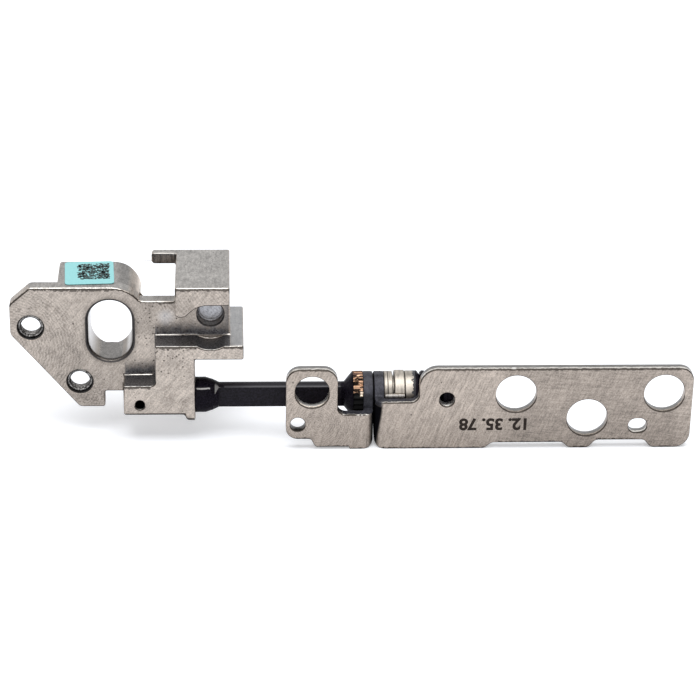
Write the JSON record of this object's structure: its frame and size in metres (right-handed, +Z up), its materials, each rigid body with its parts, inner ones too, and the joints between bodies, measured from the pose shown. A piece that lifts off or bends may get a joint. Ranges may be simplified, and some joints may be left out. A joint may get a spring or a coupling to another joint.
{
  "type": "laptop hinge",
  "caption": "Friction hinge for a laptop lid: a cast base bracket and a black shaft that carries two bent sheet-steel lid brackets and their friction pack.",
  "frame": {"origin": "midway between the two base screw holes, on the front face of the base plate", "axes": "+X along the hinge axis towards the lid brackets, +Y away from the mating face, +Z up as in the picture"},
  "size_m": [0.0865, 0.0142, 0.0217],
  "materials": {
    "cast_steel": "tumbled metal casting, fine scratches",
    "sheet_steel": "plated sheet steel, fine scratches",
    "black_steel": "black oxide, oiled",
    "bright_steel": "bright, lightly greased",
    "bronze": "sintered bronze, greased",
    "label": "satin printed label"
  },
  "bodies": {
    "base_side": {"cast_base_bracket": "cast_steel", "label_sticker": "label", "hinge_shaft": "black_steel", "shaft_lock_pin": "black_steel", "serrated_friction_ring": "bronze", "friction_liner": "bronze", "friction_washer_a": "bright_steel", "friction_washer_b": "bright_steel", "spacer_ring": "bright_steel", "detent_cam": "bright_steel", "cam_follower": "black_steel", "thrust_washer": "black_steel", "end_washer": "black_steel", "lock_nut": "black_steel", "spring_washer_1": "black_steel", "spring_washer_2": "black_steel", "spring_washer_3": "black_steel", "spring_washer_4": "black_steel"},
    "short_lid_side": {"short_bracket": "sheet_steel"},
    "long_lid_side": {"long_bracket": "sheet_steel", "tab_washer": "bright_steel"}
  },
  "joints": [
    {"name": "short_bracket_turn", "type": "hinge", "parent": "base_side", "child": "short_lid_side", "pos_m": [0.0397, -0.0009, -0.00527], "axis": [1, 0, 0], "range_deg": [0, 180]},
    {"name": "long_bracket_turn", "type": "hinge", "parent": "base_side", "child": "long_lid_side", "pos_m": [0.0411, -0.0009, -0.00527], "axis": [1, 0, 0], "range_deg": [0, 180]}
  ]
}
